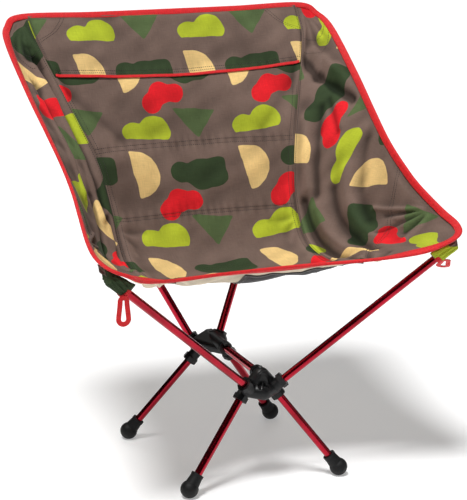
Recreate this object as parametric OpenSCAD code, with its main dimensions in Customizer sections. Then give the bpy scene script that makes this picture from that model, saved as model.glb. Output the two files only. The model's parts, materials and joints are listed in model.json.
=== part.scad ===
// Ultralight camp chair: two moulded hubs on a crossbar, four legs, four seat poles and a fabric
// sling whose corner pockets hold the pole tips. Millimetres, +Z up, the sitter faces -Y.
// Left and right are the sitter's, so left is +X. The origin is on the floor, below the middle
// of the chair's box.

/* [Poles and legs] */
// Outer diameter of every pole, leg and the crossbar
tube_d = 12; // [11.4:0.1:12.4]
// Wall thickness of the tubes
tube_wall = 1; // [0.8:0.1:1.2]
// Radial clearance of a tube in a hub socket
socket_gap = 0.06; // [0.03:0.01:0.1]
// Depth of a hub socket
socket_depth = 26; // [22:1:28]
// Length of a rear lower pole, from the socket's floor to the ferrule joint
rear_lower_len = 272; // [240:1:300]
// Length of the ferrule that joins a rear pole's two sections
ferrule_len = 56; // [40:1:70]

/* [Feet and tips] */
// Radius of a ball foot
foot_r = 13.4; // [12.5:0.1:14]
// Height of a ball foot's centre above the floor
foot_height = 13; // [12:0.1:13.2]
// Length of a foot's collar, from the ball's centre
foot_collar_len = 25; // [20:1:30]
// Radius of a pole tip's round head
tip_r = 6.8; // [6.4:0.1:7.2]

/* [Pull-out travel] */
// How far a front pole can slide before its tip meets the pocket's end
front_travel = 6; // [4:1:8]
// How far a rear pole can slide, both of its joints together
rear_travel = 10; // [6:1:12]

/* [Shock cord] */
// Diameter of the elastic cord inside the tubes
cord_d = 2.6; // [2:0.1:3]

/* [Seat fabric] */
// Thickness of the sling fabric, with its hems
fabric_t = 1.2; // [0.8:0.1:2]
// Diameter of the binding round the sling's edge
binding_d = 8; // [6:0.5:9]
// Width of the webbing in a pull loop
webbing_w = 7; // [5:0.5:7.5]
// Thickness of that webbing
webbing_t = 1.6; // [1.2:0.1:2]

/* [Hidden] */

$fn = 48;
tube_r = tube_d / 2;
bore_r = tube_r - tube_wall;
socket_r = tube_r + socket_gap;
plug_r = bore_r - 0.04;
cord_r = cord_d / 2;
cord_bend_r = cord_r + 0.2;
knot_r = 3;
knot_room_r = 3.6;
cord_hole_r = 2;

// ---- frame points, left side ----
front_foot = [120, -170, foot_height];
rear_foot = [122, 86, foot_height];
front_leg_mouth = [32, -144, 129];
rear_leg_mouth = [35, 49, 131];
front_pole_mouth = [32, -160, 160];
rear_pole_mouth = [26, 71, 165];
front_pocket_mouth = [233, -228, 336];
rear_corner = [260, 241, 636];
front_reach = 32;
rear_tip_gap = 32;
bar_z = 166;
bar_front_y = -152;
bar_rear_y = 54;
// Room left at a socket's floor, where the cord turns out of the tube
bend_room = 4.5;

function unit(v) = v / norm(v);
front_leg_dir = unit(front_foot - front_leg_mouth);
rear_leg_dir = unit(rear_foot - rear_leg_mouth);
front_pole_dir = unit(front_pocket_mouth - front_pole_mouth);
rear_pole_dir = unit(rear_corner - rear_pole_mouth);
front_leg_end = front_leg_mouth - socket_depth * front_leg_dir;
rear_leg_end = rear_leg_mouth - socket_depth * rear_leg_dir;
front_pole_end = front_pole_mouth - socket_depth * front_pole_dir;
rear_pole_end = rear_pole_mouth - socket_depth * rear_pole_dir;
front_pole_len = norm(front_pocket_mouth - front_pole_end) + front_reach - tip_r;
rear_pole_len = norm(rear_corner - rear_pole_end) - rear_tip_gap - tip_r;

// ---- placing helpers ----
// Puts the child's +Z axis along dir, with its origin at a point
module along(origin, dir) {
    translate(origin)
        rotate([0, acos(dir.z / norm(dir)), atan2(dir.y, dir.x)])
            children();
}

module sided(left) {
    if (left) children();
    else mirror([1, 0, 0]) children();
}

// ---- tubes ----
module tube(len) {
    difference() {
        cylinder(h = len, r = tube_r);
        translate([0, 0, -1]) cylinder(h = len + 2, r = bore_r);
    }
}

// Foot seat: how far the leg's lower end stays from the ball's centre
leg_stop = 3;

module leg(foot, end, dir) {
    color("crimson") along(end + bend_room * dir, dir) tube(norm(foot - end) - leg_stop - bend_room);
}

module front_pole(left) {
    color("crimson") sided(left)
        along(front_pole_end + bend_room * front_pole_dir, front_pole_dir) tube(front_pole_len - bend_room);
}

module rear_lower_pole(left) {
    color("crimson") sided(left)
        along(rear_pole_end + bend_room * rear_pole_dir, rear_pole_dir) tube(rear_lower_len - bend_room);
}

module rear_upper_pole(left) {
    color("crimson") sided(left)
        along(rear_pole_end + rear_lower_len * rear_pole_dir, rear_pole_dir)
            tube(rear_pole_len - rear_lower_len);
}

module ferrule(left) {
    ferrule_bore_r = 3.9;
    color("silver") sided(left)
        along(rear_pole_end + (rear_lower_len - ferrule_len / 2) * rear_pole_dir, rear_pole_dir)
            difference() {
                cylinder(h = ferrule_len, r = plug_r);
                translate([0, 0, -1]) cylinder(h = ferrule_len + 2, r = ferrule_bore_r);
            }
}

module crossbar() {
    color("crimson") difference() {
        translate([0, bar_rear_y, bar_z]) rotate([90, 0, 0]) tube(bar_rear_y - bar_front_y);
        crossbar_pin_shafts(pin_r);
    }
}

// ---- crossbar pins: one through each hub and the bar ----
pin_r = 2;
pin_len = 23;
pin_ys = [-146, 46];

module crossbar_pin_shafts(r) {
    for (y = pin_ys)
        translate([0, y, bar_z - pin_len / 2]) cylinder(h = pin_len, r = r);
}

module crossbar_pins() {
    head_r = 3.4;
    head_h = 1.2;
    color("dimgray") {
        crossbar_pin_shafts(pin_r - 0.02);
        for (y = pin_ys)
            translate([0, y, bar_z + pin_len / 2 - 0.01]) cylinder(h = head_h, r1 = head_r, r2 = head_r - 0.8);
    }
}

// ---- feet ----
module foot(at, dir) {
    ball_cut = 2 * foot_r;
    collar_r = 8.6;
    lip_r = 9.6;
    lip_h = 4;
    color("black") difference() {
        union() {
            translate(at) sphere(r = foot_r);
            along(at, -dir) cylinder(h = foot_collar_len, r1 = 11.5, r2 = collar_r);
            along(at + (lip_h - foot_collar_len) * dir, -dir) cylinder(h = lip_h, r = lip_r);
        }
        along(at - leg_stop * dir, -dir) cylinder(h = foot_collar_len, r = tube_r + 0.02);
        along(at + 2 * dir, -dir) cylinder(h = 8, r = cord_hole_r);
        along(at + 8 * dir, -dir) cylinder(h = 7, r = knot_room_r);
        translate([at.x - foot_r, at.y - foot_r, -ball_cut]) cube([ball_cut, ball_cut, ball_cut]);
    }
}

// ---- pole tips: a plug in the tube and a round head ----
module tip_cap() {
    plug_len = 12;
    head_base = 1.2;
    color("black") difference() {
        union() {
            translate([0, 0, -plug_len]) cylinder(h = plug_len + 1, r = plug_r);
            cylinder(h = head_base + 1, r = tip_r);
            translate([0, 0, head_base]) intersection() {
                sphere(r = tip_r);
                cylinder(h = tip_r, r = tip_r);
            }
        }
        translate([0, 0, -plug_len - 1]) cylinder(h = plug_len + 1, r = cord_hole_r);
        translate([0, 0, -1.9]) cylinder(h = 6.6, r = knot_room_r - 0.4);
    }
}

module front_tip(left) {
    sided(left) along(front_pole_end + front_pole_len * front_pole_dir, front_pole_dir) tip_cap();
}

module rear_tip(left) {
    sided(left) along(rear_pole_end + rear_pole_len * rear_pole_dir, rear_pole_dir) tip_cap();
}

// ---- shock cords: from a knot in the foot, through the hub, to a knot in the tip ----
module rod(p, q, r) {
    along(p, q - p) cylinder(h = norm(q - p), r = r, $fn = 16);
}

module cord(foot, foot_dir, leg_end, pole_end, tip) {
    foot_knot = foot + 4.5 * foot_dir;
    color("white") {
        translate(foot_knot) sphere(r = knot_r, $fn = 24);
        rod(foot_knot, leg_end, cord_r);
        translate(leg_end) sphere(r = cord_bend_r, $fn = 16);
        rod(leg_end, pole_end, cord_r);
        translate(pole_end) sphere(r = cord_bend_r, $fn = 16);
        rod(pole_end, tip, cord_r);
        translate(tip) sphere(r = knot_r, $fn = 24);
    }
}

module front_cord(left) {
    sided(left) cord(front_foot, front_leg_dir, front_leg_end, front_pole_end,
                     front_pole_end + (front_pole_len + 1.5) * front_pole_dir);
}

module rear_cord(left) {
    sided(left) cord(rear_foot, rear_leg_dir, rear_leg_end, rear_pole_end,
                     rear_pole_end + (rear_pole_len + 1.5) * rear_pole_dir);
}

// ---- hubs ----
// Square collar with cut corners, at a socket's mouth
module collar(size, h) {
    cut = size * 0.26;
    half = size / 2;
    linear_extrude(height = h)
        polygon([[-half + cut, -half], [half - cut, -half], [half, -half + cut], [half, half - cut],
                 [half - cut, half], [-half + cut, half], [-half, half - cut], [-half, -half + cut]]);
}

module socket_shell(mouth, dir) {
    shell_r = 9;
    collar_size = 21;
    collar_h = 8;
    floor_t = 4;
    along(mouth - (socket_depth + floor_t) * dir, dir) cylinder(h = socket_depth + floor_t, r = shell_r);
    along(mouth - collar_h * dir, dir) collar(collar_size, collar_h);
    along(mouth - (collar_h + 5) * dir, dir)
        cylinder(h = 5.5, r1 = shell_r - 0.4, r2 = collar_size / 2 - 0.7);
}

module socket_bore(end, dir) {
    along(end, dir) cylinder(h = socket_depth + 5, r = socket_r);
    along(end, dir) translate([0, 0, socket_depth - 1.2])
        cylinder(h = 1.3, r1 = socket_r, r2 = socket_r + 0.8);
}

module cord_passage(leg_end, pole_end) {
    rod(leg_end, pole_end, cord_hole_r);
    translate(leg_end) sphere(r = cord_hole_r + 0.4, $fn = 24);
    translate(pole_end) sphere(r = cord_hole_r + 0.4, $fn = 24);
}

module hub_sockets(leg_mouth, leg_dir, pole_mouth, pole_dir) {
    for (left = [true, false]) sided(left) {
        socket_shell(leg_mouth, leg_dir);
        socket_shell(pole_mouth, pole_dir);
    }
}

module hub_bores(leg_end, leg_dir, pole_end, pole_dir) {
    for (left = [true, false]) sided(left) {
        socket_bore(leg_end, leg_dir);
        socket_bore(pole_end, pole_dir);
        cord_passage(leg_end, pole_end);
    }
}

// Sleeve over the crossbar's end, with raised rings
module bar_sleeve(y_closed, y_open, rings) {
    sleeve_r = 9.4;
    ring_r = 10.4;
    ring_w = 2.4;
    dir = y_open > y_closed ? 1 : -1;
    along([0, y_closed, bar_z], [0, dir, 0]) cylinder(h = abs(y_open - y_closed), r = sleeve_r);
    for (i = [0 : rings - 1])
        along([0, y_open - dir * (ring_w + i * 5.2), bar_z], [0, dir, 0]) cylinder(h = ring_w, r = ring_r);
}

module bar_bore(y_end, y_open) {
    dir = y_open > y_end ? 1 : -1;
    along([0, y_end, bar_z], [0, dir, 0]) cylinder(h = abs(y_open - y_end) + 5, r = tube_r + 0.02);
}

module front_hub() {
    belly = [0, -160, 143];
    shoulder = [21, -151, 145];
    color([0.09, 0.09, 0.1]) difference() {
        union() {
            hub_sockets(front_leg_mouth, front_leg_dir, front_pole_mouth, front_pole_dir);
            bar_sleeve(bar_front_y - 5, -131, 3);
            hull() {
                translate(belly) sphere(r = 12, $fn = 32);
                for (s = [-1, 1]) translate([s * shoulder.x, shoulder.y, shoulder.z]) sphere(r = 10, $fn = 32);
            }
            hull() {
                translate([0, -152, 150]) sphere(r = 12, $fn = 32);
                translate([0, -148, 164.5]) sphere(r = 13, $fn = 32);
                translate([0, -134, 160]) sphere(r = 7, $fn = 32);
                for (s = [-1, 1]) translate([s * 19, -146, 152]) sphere(r = 7, $fn = 32);
            }
        }
        front_hub_dish();
        hub_bores(front_leg_end, front_leg_dir, front_pole_end, front_pole_dir);
        bar_bore(bar_front_y, -131);
        crossbar_pin_shafts(pin_r);
    }
}

// Open pocket in the hub's front top, crossed by a V of two ribs
module front_hub_dish() {
    dish = [0, -168, 166];
    difference() {
        along(dish, [0, -0.35, 1]) translate([0, 0, -16]) cylinder(h = 30, r = 11);
        translate([-30, bar_front_y - 5, 100]) cube([60, 60, 100]);
        for (s = [-1, 1])
            translate([0, -158, 148]) rotate([0, 0, s * 38]) translate([-0.8, -30, -12]) cube([1.6, 32, 22]);
    }
}

module rear_hub() {
    nose_y = -16;
    color([0.09, 0.09, 0.1]) difference() {
        union() {
            hub_sockets(rear_leg_mouth, rear_leg_dir, rear_pole_mouth, rear_pole_dir);
            bar_sleeve(bar_rear_y + 4, nose_y, 2);
            hull() {
                translate([0, 60, 148]) sphere(r = 13, $fn = 32);
                for (s = [-1, 1]) translate([s * 20, 55, 150]) sphere(r = 10, $fn = 32);
            }
            hull() {
                for (s = [-1, 1]) translate([s * 20, 52, 157]) sphere(r = 10, $fn = 32);
                translate([0, 51, 164]) sphere(r = 13, $fn = 32);
                translate([0, nose_y + 12, 160]) sphere(r = 7, $fn = 32);
            }
            translate([0, nose_y - 8, bar_z]) rear_hub_lip();
        }
        rear_hub_recess();
        hub_bores(rear_leg_end, rear_leg_dir, rear_pole_end, rear_pole_dir);
        bar_bore(bar_rear_y, nose_y - 10);
        crossbar_pin_shafts(pin_r);
    }
}

// Thin hood over the top of the bar, where it leaves the sleeve
module rear_hub_lip() {
    hood_r = 10;
    intersection() {
        rotate([-90, 0, 0]) cylinder(h = 20, r = hood_r);
        translate([-5, 0, 6.6]) cube([10, 20, 6]);
    }
}

// Hollow in the hub's front face, below the sleeve
module rear_hub_recess() {
    for (s = [-1, 1])
        translate([s * 12, 30, 146]) rotate([-90, 0, 0]) cylinder(h = 12, r = 5);
}

// ---- sling: the edge, the seams and the centre line, left side, from the back to the front ----
edge_top = [[0, 248, 650], [120, 249, 650]];
edge_side = [
    [236, 251, 651], [264, 238, 637], [274, 200, 616], [271, 105, 557], [265, 30, 510],
    [261, -30, 473], [262, -80, 445], [266, -120, 423], [274, -180, 398], [276, -222, 387],
    [266, -247, 378], [240, -250, 366], [210, -231, 351]
];
edge_front = [[148, -194, 337], [70, -168, 331], [0, -160, 329]];
seam = [
    [228, 248, 650], [226, 230, 630], [219, 200, 600], [190, 148, 520], [164, 102, 445],
    [153, 74, 380], [151, 45, 332], [151, 10, 307], [151, -50, 302], [151, -90, 308],
    [150, -120, 317], [150, -155, 328], [148, -194, 337]
];
centre_line = [
    [0, 248, 650], [0, 234, 630], [0, 212, 600], [0, 164, 520], [0, 120, 445],
    [0, 88, 380], [0, 58, 328], [0, 24, 298], [0, -50, 287], [0, -90, 294],
    [0, -112, 302], [0, -137, 315], [0, -160, 329]
];
side_belly = 7;

function blend(p0, p1, p2, p3, t) =
    0.5 * (2 * p1 + (p2 - p0) * t + (2 * p0 - 5 * p1 + 4 * p2 - p3) * t * t
           + (3 * p1 - p0 - 3 * p2 + p3) * t * t * t);
function before(p) = 2 * p[0] - p[1];
function after(p) = 2 * p[len(p) - 1] - p[len(p) - 2];
// Point at t, from 0 to 1, on a smooth open curve through the points
function on_curve(p, t) =
    let (n = len(p) - 1, s = max(0, min(n - 0.000001, t * n)), i = floor(s))
    blend(i == 0 ? before(p) : p[i - 1], p[i], p[i + 1], i + 2 > n ? after(p) : p[i + 2], s - i);
// Point at t on a smooth closed curve
function on_ring(p, t) =
    let (n = len(p), s = t * n, i = floor(s))
    blend(p[(i + n - 1) % n], p[i % n], p[(i + 1) % n], p[(i + 2) % n], s - i);

// Centre panel: u from -1 to 1 between the seams, v from 0 at the top edge to 1 at the front edge
function centre_point(u, v) =
    let (s = on_curve(seam, v), c = on_curve(centre_line, v))
    [u * s.x, c.y + (s.y - c.y) * u * u, c.z + (s.z - c.z) * u * u];

// Side panel: u from 0 at the seam to 1 at the edge, v as above; it bellies out and down
function side_point(u, v) =
    let (a = on_curve(seam, v), b = on_curve(edge_side, v), out = unit([0.75, 0.35, -0.55]))
    a + (b - a) * u + out * side_belly * 4 * u * (1 - u) * sin(180 * v);

function normal_at(f, u, v) =
    let (d = 0.002, pu = f(u + d, v) - f(u - d, v), pv = f(u, v + d) - f(u, v - d))
    unit(cross(pv, pu));

// Closed sheet between two offsets of a surface, as one polyhedron
module sheet(f, us, vs, low, high) {
    nu = len(us);
    nv = len(vs);
    count = nu * nv;
    top = [for (v = vs, u = us) f(u, v) + high * normal_at(f, u, v)];
    bottom = [for (v = vs, u = us) f(u, v) + low * normal_at(f, u, v)];
    top_faces = [for (j = [0 : nv - 2], i = [0 : nu - 2])
        let (a = j * nu + i) each [[a, a + 1, a + nu], [a + 1, a + nu + 1, a + nu]]];
    bottom_faces = [for (f3 = top_faces) [f3[2] + count, f3[1] + count, f3[0] + count]];
    rim = concat([for (i = [0 : nu - 2]) i], [for (j = [0 : nv - 2]) j * nu + nu - 1],
                 [for (i = [nu - 1 : -1 : 1]) (nv - 1) * nu + i], [for (j = [nv - 1 : -1 : 1]) j * nu]);
    rim_faces = [for (k = [0 : len(rim) - 1])
        let (a = rim[k], b = rim[(k + 1) % len(rim)])
        each [[a, a + count, b], [b, a + count, b + count]]];
    polyhedron(points = concat(top, bottom), faces = concat(top_faces, bottom_faces, rim_faces));
}

function steps(a, b, n) = [for (i = [0 : n]) a + (b - a) * i / n];

module centre_panel() {
    seam_gap = 0.003;
    color("rosybrown")
        sheet(function(u, v) centre_point(u, v), steps(-1 + seam_gap, 1 - seam_gap, 12),
              steps(0.002, 0.998, 36), -fabric_t / 2, fabric_t / 2);
}

module side_panel(left) {
    color("rosybrown") sided(left)
        sheet(function(u, v) side_point(u, v), steps(0.008, 0.99, 6), steps(0.002, 0.998, 36),
              -fabric_t / 2, fabric_t / 2);
}

// Extra layer over the top of the backrest, and the thin binding on its lower edge
yoke_end = 0.205;
yoke_lift = 1.9;

module back_yoke() {
    color("tan")
        sheet(function(u, v) centre_point(u, v), steps(-0.985, 0.985, 12), steps(0.022, yoke_end, 10),
              fabric_t / 2 + 0.2, yoke_lift);
}

function yoke_edge(u) =
    centre_point(u, yoke_end + 0.004)
    + (fabric_t / 2 + 1.5) * normal_at(function(a, b) centre_point(a, b), u, yoke_end);

// Ring of points round p, square to dir
function ring(p, dir, r, sides) =
    let (d = unit(dir), side = unit(cross(d, abs(d.z) < 0.9 ? [0, 0, 1] : [0, 1, 0])), up = cross(side, d))
    [for (k = [0 : sides - 1]) p + r * (cos(360 * k / sides) * side + sin(360 * k / sides) * up)];

// Round bar through the points, closed in a loop or open with flat ends
module swept(path, r, sides, closed) {
    n = len(path);
    last = closed ? n - 1 : n - 2;
    dirs = [for (i = [0 : n - 1])
        closed ? path[(i + 1) % n] - path[(i + n - 1) % n] : path[min(i + 1, n - 1)] - path[max(i - 1, 0)]];
    points = [for (i = [0 : n - 1]) each ring(path[i], dirs[i], r, sides)];
    walls = [for (i = [0 : last], k = [0 : sides - 1])
        let (a = i * sides + k, b = i * sides + (k + 1) % sides, c = ((i + 1) % n) * sides)
        each [[a, b, c + k], [b, c + (k + 1) % sides, c + k]]];
    ends = closed ? [] : [[for (k = [sides - 1 : -1 : 0]) k], [for (k = [0 : sides - 1]) (n - 1) * sides + k]];
    polyhedron(points = points, faces = concat(walls, ends));
}

module yoke_binding() {
    color("red") swept([for (u = steps(-0.98, 0.98, 20)) yoke_edge(u)], 1.2, 8, false);
}

half_edge = concat(edge_top, edge_side, edge_front);
edge = concat(half_edge, [for (i = [len(half_edge) - 2 : -1 : 1])
    [-half_edge[i].x, half_edge[i].y, half_edge[i].z]]);

module edge_binding() {
    rings = 4 * len(edge);
    color("red") swept([for (i = [0 : rings - 1]) on_ring(edge, i / rings)], binding_d / 2, 8, true);
}

// ---- corner pockets: a sleeve round the pole's tip, spread out to the sling's corner ----
pocket_room_r = tip_r + 0.9;
pocket_r = pocket_room_r + 1.4;

module pocket(mouth, dir, end, corner_points) {
    sleeve_len = norm(end - mouth);
    color("dimgray") difference() {
        hull() {
            along(mouth, dir) cylinder(h = sleeve_len + 2, r = pocket_r, $fn = 32);
            for (p = corner_points) translate(p) sphere(r = 1.2, $fn = 12);
        }
        along(mouth - 20 * dir, dir) cylinder(h = sleeve_len + 20, r = pocket_room_r);
    }
}

front_tip_end = front_pocket_mouth + front_reach * front_pole_dir;
rear_tip_end = rear_corner - rear_tip_gap * rear_pole_dir;
front_pocket_start = front_pocket_mouth + 6 * front_pole_dir;

module front_pocket(left) {
    sided(left) pocket(front_pocket_start, front_pole_dir,
                       front_tip_end + (front_travel + 1.5) * front_pole_dir,
                       [[271, -213, 377], [264, -240, 372], [248, -246, 361], [226, -236, 350]]);
}

module rear_pocket(left) {
    sided(left) pocket(rear_tip_end - 46 * rear_pole_dir, rear_pole_dir,
                       rear_tip_end + (rear_travel + 1.5) * rear_pole_dir,
                       [[260, 238, 632], [246, 246, 641], [264, 220, 621]]);
}

module front_mouth_binding(left) {
    bind_r = 1.5;
    color("red") sided(left) along(front_pocket_start - 0.5 * front_pole_dir, front_pole_dir)
        rotate_extrude() translate([pocket_room_r + bind_r + 0.2, 0]) circle(r = bind_r, $fn = 16);
}

// ---- pull loops: flat webbing, folded in half, that hangs from the pocket's mouth ----
loop_drop = 25;
loop_top_r = 8.5;
loop_end_r = 10.5;
function loop_outline(t) =
    let (lean = asin((loop_end_r - loop_top_r) / loop_drop))
    concat([for (a = steps(-lean, 180 + lean, 12)) (loop_top_r - t) * [cos(a), sin(a)]],
           [for (a = steps(180 + lean, 360 - lean, 16)) [0, -loop_drop] + (loop_end_r - t) * [cos(a), sin(a)]]);

module webbing_loop() {
    color("red") rotate([90, 0, 0]) translate([0, -loop_top_r, -webbing_t / 2])
        linear_extrude(height = webbing_t) difference() {
            polygon(loop_outline(0));
            polygon(loop_outline(webbing_w));
        }
}

// The right loop hangs straight down; the left one is turned back and stands out behind its pocket
right_loop_top = [-245, -242.8, 339];
left_loop_top = [253.4, -232.1, 337.7];
left_loop_turn = [60, 0, -23];

module pull_loop(left) {
    if (left) translate(left_loop_top) rotate(left_loop_turn) webbing_loop();
    else translate(right_loop_top) webbing_loop();
}

// ---- flat storage pouch sewn under the seat ----
module under_seat_pouch() {
    color("black")
        sheet(function(u, v) centre_point(u, v), steps(-0.15, 0.93, 8), steps(0.6, 0.93, 10),
              -fabric_t / 2 - 3.5, -fabric_t / 2 - 0.5);
}

front_hub();
rear_hub();
crossbar();
crossbar_pins();
leg(front_foot, front_leg_end, front_leg_dir);  // front_leg_left
sided(false) leg(front_foot, front_leg_end, front_leg_dir);  // front_leg_right
leg(rear_foot, rear_leg_end, rear_leg_dir);  // rear_leg_left
sided(false) leg(rear_foot, rear_leg_end, rear_leg_dir);  // rear_leg_right
foot(front_foot, front_leg_dir);  // front_foot_left
sided(false) foot(front_foot, front_leg_dir);  // front_foot_right
foot(rear_foot, rear_leg_dir);  // rear_foot_left
sided(false) foot(rear_foot, rear_leg_dir);  // rear_foot_right
front_pole(true);  // front_pole_left
front_pole(false);  // front_pole_right
rear_lower_pole(true);  // rear_lower_pole_left
rear_lower_pole(false);  // rear_lower_pole_right
rear_upper_pole(true);  // rear_upper_pole_left
rear_upper_pole(false);  // rear_upper_pole_right
ferrule(true);  // ferrule_left
ferrule(false);  // ferrule_right
front_tip(true);  // front_tip_left
front_tip(false);  // front_tip_right
rear_tip(true);  // rear_tip_left
rear_tip(false);  // rear_tip_right
front_cord(true);  // front_cord_left
front_cord(false);  // front_cord_right
rear_cord(true);  // rear_cord_left
rear_cord(false);  // rear_cord_right
centre_panel();
side_panel(true);  // side_panel_left
side_panel(false);  // side_panel_right
back_yoke();
yoke_binding();
edge_binding();
front_pocket(true);  // front_pocket_left
front_pocket(false);  // front_pocket_right
rear_pocket(true);  // rear_pocket_left
rear_pocket(false);  // rear_pocket_right
front_mouth_binding(true);  // front_mouth_binding_left
front_mouth_binding(false);  // front_mouth_binding_right
pull_loop(true);  // pull_loop_left
pull_loop(false);  // pull_loop_right
under_seat_pouch();
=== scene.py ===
"""Ultralight camp chair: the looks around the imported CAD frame.

Directions: +X is the sitter's left, -Y is the way the sitter faces, +Z is up. All lengths are in metres.
"""
import json
import math

import bpy
import numpy as np
from mathutils import Matrix, Vector
from mathutils.kdtree import KDTree


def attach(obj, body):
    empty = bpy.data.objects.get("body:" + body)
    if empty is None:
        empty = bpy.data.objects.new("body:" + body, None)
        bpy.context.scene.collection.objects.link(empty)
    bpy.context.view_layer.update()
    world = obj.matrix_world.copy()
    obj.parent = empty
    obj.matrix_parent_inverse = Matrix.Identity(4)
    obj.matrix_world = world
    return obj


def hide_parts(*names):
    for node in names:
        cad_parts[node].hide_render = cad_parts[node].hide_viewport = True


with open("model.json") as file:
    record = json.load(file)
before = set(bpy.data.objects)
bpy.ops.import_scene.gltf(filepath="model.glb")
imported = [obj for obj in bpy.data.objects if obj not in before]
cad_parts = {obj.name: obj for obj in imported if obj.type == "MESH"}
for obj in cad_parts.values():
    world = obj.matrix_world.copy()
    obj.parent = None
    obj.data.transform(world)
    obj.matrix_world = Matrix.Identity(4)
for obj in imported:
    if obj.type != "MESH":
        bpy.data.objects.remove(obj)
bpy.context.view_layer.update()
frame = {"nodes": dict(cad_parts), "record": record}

MM = 0.001
SIDES = {"left": 1, "right": -1}
rng = np.random.default_rng(7)


# ---- curves and surfaces of the sling

def mm_points(rows):
    return np.array(rows, float) * MM


def unit(vectors):
    return vectors / np.maximum(np.linalg.norm(vectors, axis=-1, keepdims=True), 1e-12)


EDGE_TOP = mm_points([[0, 248, 650], [120, 249, 650]])
EDGE_SIDE = mm_points([
    [236, 251, 651], [264, 238, 637], [274, 200, 616], [271, 105, 557], [265, 30, 510],
    [261, -30, 473], [262, -80, 445], [266, -120, 423], [274, -180, 398], [276, -222, 387],
    [266, -247, 378], [240, -250, 366], [210, -231, 351],
])
EDGE_FRONT = mm_points([[148, -194, 337], [70, -168, 331], [0, -160, 329]])
SEAM = mm_points([
    [228, 248, 650], [226, 230, 630], [219, 200, 600], [190, 148, 520], [164, 102, 445],
    [153, 74, 380], [151, 45, 332], [151, 10, 307], [151, -50, 302], [151, -90, 308],
    [150, -120, 317], [150, -155, 328], [148, -194, 337],
])
CENTRE_LINE = mm_points([
    [0, 248, 650], [0, 234, 630], [0, 212, 600], [0, 164, 520], [0, 120, 445],
    [0, 88, 380], [0, 58, 328], [0, 24, 298], [0, -50, 287], [0, -90, 294],
    [0, -112, 302], [0, -137, 315], [0, -160, 329],
])
BELLY = 7 * MM
BELLY_WAY = unit([0.75, 0.35, -0.55])


def catmull(a, b, c, d, f):
    """A smooth curve's point between b and c, at the fraction f of the way."""
    return 0.5 * (2 * b + (c - a) * f + (2 * a - 5 * b + 4 * c - d) * f**2 + (3 * b - a - 3 * c + d) * f**3)


def curve(points, t):
    """Points at t, from 0 to 1, on a smooth open curve through the given points."""
    p = np.vstack([2 * points[0] - points[1], points, 2 * points[-1] - points[-2]])
    last = len(points) - 1
    s = np.clip(np.asarray(t, float) * last, 0, last - 1e-6)
    i = np.floor(s).astype(int)
    f = (s - i)[..., None]
    return catmull(p[i], p[i + 1], p[i + 2], p[i + 3], f)


def closed_curve(points, count):
    """Points all round a smooth closed curve through the given points."""
    n = len(points)
    s = np.arange(count) * n / count
    i = np.floor(s).astype(int)
    f = (s - i)[:, None]
    return catmull(*(points[(i + k) % n] for k in (-1, 0, 1, 2)), f)


def centre_surface(u, v):
    s, c = curve(SEAM, v), curve(CENTRE_LINE, v)
    return np.stack([u * s[..., 0], c[..., 1] + (s[..., 1] - c[..., 1]) * u**2,
                     c[..., 2] + (s[..., 2] - c[..., 2]) * u**2], axis=-1)


def side_surface(u, v):
    a, b = curve(SEAM, v), curve(EDGE_SIDE, v)
    bulge = (BELLY * 4 * u * (1 - u) * np.sin(np.pi * v))[..., None]
    return a + (b - a) * u[..., None] + BELLY_WAY * bulge


def arc_length(points):
    return np.r_[0, np.cumsum(np.linalg.norm(np.diff(points, axis=0), axis=1))]


FINE = np.linspace(0, 1, 400)
CENTRE_LEN = arc_length(curve(CENTRE_LINE, FINE))
SEAM_LEN = arc_length(curve(SEAM, FINE))
SIDE_LEN = arc_length((curve(SEAM, FINE) + curve(EDGE_SIDE, FINE)) / 2)
SIDE_WIDTH = np.linalg.norm(curve(EDGE_SIDE, FINE) - curve(SEAM, FINE), axis=1)


def centre_flat(u, v):
    """Where a point of the centre panel lies on its flat cut: x across, y down from the top edge."""
    down = np.interp(v, FINE, CENTRE_LEN)
    return np.stack([u * curve(SEAM, v)[..., 0], down + (np.interp(v, FINE, SEAM_LEN) - down) * u**2], axis=-1)


def side_flat(u, v):
    """The same for a side panel: x out from the seam, y down from the top edge."""
    return np.stack([u * np.interp(v, FINE, SIDE_WIDTH), np.interp(v, FINE, SIDE_LEN)], axis=-1)


# ---- wrinkles

class Ripples:
    """Gentle bumps of about one unit high, from a few random plane waves."""

    def __init__(self, wavelength, waves=9):
        angle, self.phase = rng.uniform(0, 2 * np.pi, (2, waves))
        k = 2 * np.pi / (wavelength * rng.uniform(0.7, 1.4, waves))
        self.k = np.stack([k * np.cos(angle), k * np.sin(angle)])

    def __call__(self, flat):
        return np.sin(flat @ self.k + self.phase).sum(axis=-1) / np.sqrt(len(self.phase) / 2)


SWELL, CREASE = Ripples(0.15), Ripples(0.045)
CREST = 1.6  # 2 gives a round fold, less a sharper one


def ridge(flat, start, end, width, height):
    """A fold along a straight line on the cloth, from start to end in millimetres."""
    a, b = np.array(start) * MM, np.array(end) * MM
    t = np.clip(((flat - a) @ (b - a)) / ((b - a) @ (b - a)), 0, 1)
    d = np.linalg.norm(flat - (a + t[..., None] * (b - a)), axis=-1)
    return height * MM * np.exp(-(d / (width * MM)) ** CREST)


def ridges(flat, rows, way=1):
    """Several folds, each (start, end, width, height); way -1 mirrors them."""
    return sum(ridge(flat, (way * a[0], a[1]), (way * b[0], b[1]), width, height) for a, b, width, height in rows)


def fan(flat, centre, angles, length, width, height, start=12):
    """Folds that spread out from a corner, alternately up and down."""
    total = np.zeros(flat.shape[:-1])
    for i, a in enumerate(angles):
        way = np.array([math.cos(math.radians(a)), math.sin(math.radians(a))])
        reach = length * (0.75 + 0.25 * math.sin(2.3 * i + 1))
        total += ridge(flat, np.array(centre) + way * start, np.array(centre) + way * reach,
                       width, height * (1 if i % 2 == 0 else -0.8))
    return total


def fade(distance, over):
    """0 at an edge, rising smoothly to 1 at the given distance from it."""
    t = np.clip(distance / over, 0, 1)
    return t * t * (3 - 2 * t)


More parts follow.
